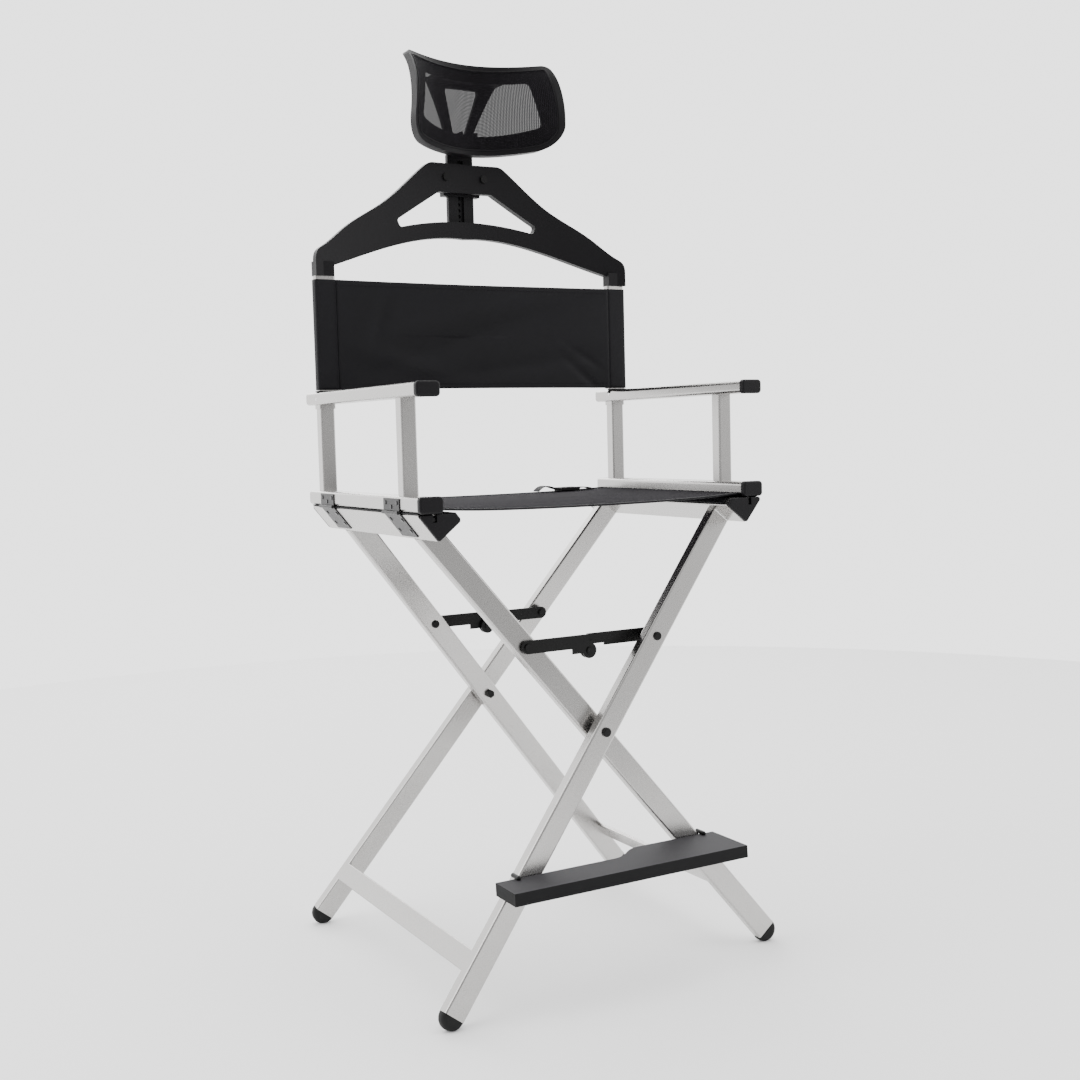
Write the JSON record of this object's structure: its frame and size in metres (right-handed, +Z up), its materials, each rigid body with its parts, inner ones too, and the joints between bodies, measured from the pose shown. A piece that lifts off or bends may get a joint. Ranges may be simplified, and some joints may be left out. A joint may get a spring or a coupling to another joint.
{
  "type": "folding makeup chair",
  "caption": "Tall folding director-style makeup chair with scissor legs, cloth seat and back, a bolt-on mesh headrest and a clip-on footrest.",
  "frame": {"origin": "middle of the chair's box on the floor", "axes": "+X to the right seen from the front, -Y to the front where the footrest is, +Z up"},
  "size_m": [0.6381, 0.5898, 1.5133],
  "materials": {
    "satin_aluminium": "satin anodised tube with bright rounded edges",
    "black_plastic": "fine-grained moulded nylon",
    "silver_plastic": "satin silver plug",
    "black_rubber": "matt moulded rubber",
    "black_steel": "black coated steel",
    "hinge_steel": "dark grey coated steel",
    "dark_screws": "dark coated screws",
    "black_fabric": "heavy woven polyester",
    "seat_fabric": "heavy woven polyester with a black bound hem",
    "headrest_mesh": "open woven mesh",
    "footrest_charcoal": "charcoal top with a fine texture"
  },
  "bodies": {
    "pivots": {"pivot_bolts": "black_steel", "pivot_spacers": "black_plastic"},
    "inner_frame": {"inner_front_leg": "satin_aluminium", "inner_rear_leg": "satin_aluminium", "inner_stretcher": "satin_aluminium", "inner_foot_caps": "black_rubber", "inner_brace_pins": "black_steel", "left_seat_rail": "satin_aluminium", "left_seat_rail_caps": "black_plastic", "left_hinge_lower_leaves": "hinge_steel", "left_seat_rail_screws": "dark_screws"},
    "outer_frame": {"outer_front_leg": "satin_aluminium", "outer_rear_leg": "satin_aluminium", "outer_stretcher": "satin_aluminium", "outer_foot_caps": "black_rubber", "outer_brace_pins": "black_steel", "right_seat_rail": "satin_aluminium", "right_seat_rail_caps": "black_plastic", "right_hinge_lower_leaves": "hinge_steel", "right_seat_rail_screws": "dark_screws"},
    "left_arm": {"left_armrest": "satin_aluminium", "left_lower_rail": "satin_aluminium", "left_arm_posts": "satin_aluminium", "left_post_collar": "satin_aluminium", "left_rail_caps": "black_plastic", "left_rail_plugs": "silver_plastic", "left_hinge_upper_leaves": "hinge_steel", "left_hinge_upper_screws": "dark_screws", "left_back_post": "satin_aluminium", "left_post_socket": "black_plastic", "backrest_canvas": "black_fabric", "seat_canvas": "seat_fabric"},
    "right_arm": {"right_armrest": "satin_aluminium", "right_lower_rail": "satin_aluminium", "right_arm_posts": "satin_aluminium", "right_post_collar": "satin_aluminium", "right_rail_caps": "black_plastic", "right_rail_plugs": "silver_plastic", "right_hinge_upper_leaves": "hinge_steel", "right_hinge_upper_screws": "dark_screws", "right_back_post": "satin_aluminium", "right_post_socket": "black_plastic", "seat_strap": "black_fabric", "strap_buckle": "black_plastic"},
    "front_left_link": {"front_left_brace_link": "black_steel"},
    "front_right_link": {"front_right_brace_link": "black_steel"},
    "rear_left_link": {"rear_left_brace_link": "black_steel"},
    "rear_right_link": {"rear_right_brace_link": "black_steel"},
    "headrest_yoke": {"headrest_yoke": "black_plastic", "yoke_bolts": "black_steel", "stem_guide": "black_plastic"},
    "headrest_stem": {"headrest_stem": "black_plastic"},
    "headrest_pad": {"headrest_pivot_pin": "black_steel", "headrest_bracket": "black_plastic", "headrest_frame": "black_plastic", "headrest_rim": "black_plastic", "headrest_mesh": "headrest_mesh"},
    "footrest": {"footrest_board": "footrest_charcoal", "footrest_hooks": "black_steel", "footrest_screws": "dark_screws"}
  },
  "joints": [
    {"name": "fold", "type": "hinge", "parent": "pivots", "child": "inner_frame", "pos_m": [0, 0.02009, 0.393], "axis": [0, 1, 0], "range_deg": [0, 32], "deforming": ["seat_canvas", "backrest_canvas", "seat_strap", "strap_buckle"]},
    {"name": "outer frame fold", "type": "hinge", "parent": "pivots", "child": "outer_frame", "pos_m": [0, 0.02009, 0.393], "axis": [0, 1, 0], "range_deg": [-32, 0]},
    {"name": "left arm hinge", "type": "hinge", "parent": "inner_frame", "child": "left_arm", "pos_m": [-0.3113, 0.02009, 0.749], "axis": [0, 1, 0], "range_deg": [-32, 0]},
    {"name": "right arm hinge", "type": "hinge", "parent": "outer_frame", "child": "right_arm", "pos_m": [0.3113, 0.02009, 0.749], "axis": [0, 1, 0], "range_deg": [0, 32]},
    {"name": "front left link pivot", "type": "hinge", "parent": "inner_frame", "child": "front_left_link", "pos_m": [-0.11125, -0.15991, 0.53196], "axis": [0, 1, 0], "range_deg": [-119.5, 0]},
    {"name": "front right link pivot", "type": "hinge", "parent": "outer_frame", "child": "front_right_link", "pos_m": [0.11125, -0.14991, 0.53196], "axis": [0, 1, 0], "range_deg": [0, 119.5]},
    {"name": "rear left link pivot", "type": "hinge", "parent": "inner_frame", "child": "rear_left_link", "pos_m": [-0.11125, 0.20009, 0.53196], "axis": [0, 1, 0], "range_deg": [-119.5, 0]},
    {"name": "rear right link pivot", "type": "hinge", "parent": "outer_frame", "child": "rear_right_link", "pos_m": [0.11125, 0.19009, 0.53196], "axis": [0, 1, 0], "range_deg": [0, 119.5]},
    {"name": "headrest lift-off", "type": "slide", "parent": "pivots", "child": "headrest_yoke", "axis": [0, 0, 1], "range_m": [0, 0.517]},
    {"name": "headrest height", "type": "slide", "parent": "headrest_yoke", "child": "headrest_stem", "axis": [0, 0, 1], "range_m": [0, 0.055]},
    {"name": "headrest tilt", "type": "hinge", "parent": "headrest_stem", "child": "headrest_pad", "pos_m": [0, 0.25359, 1.38], "axis": [1, 0, 0], "range_deg": [-15, 20]},
    {"name": "footrest lift-off", "type": "slide", "parent": "pivots", "child": "footrest", "axis": [0, 0.0786, 0.9969], "range_m": [0, 0.06]}
  ],
  "couplings": [
    {"joint": "outer frame fold", "follows": "fold", "ratio": -1},
    {"joint": "left arm hinge", "follows": "fold", "ratio": -1},
    {"joint": "right arm hinge", "follows": "fold", "ratio": 1},
    {"joint": "front left link pivot", "follows": "fold", "ratio": -3.729},
    {"joint": "rear left link pivot", "follows": "fold", "ratio": -3.729},
    {"joint": "front right link pivot", "follows": "fold", "ratio": 3.729},
    {"joint": "rear right link pivot", "follows": "fold", "ratio": 3.729},
    {"joint": "headrest lift-off", "follows": "fold", "m_per_rad": 0.925}
  ]
}
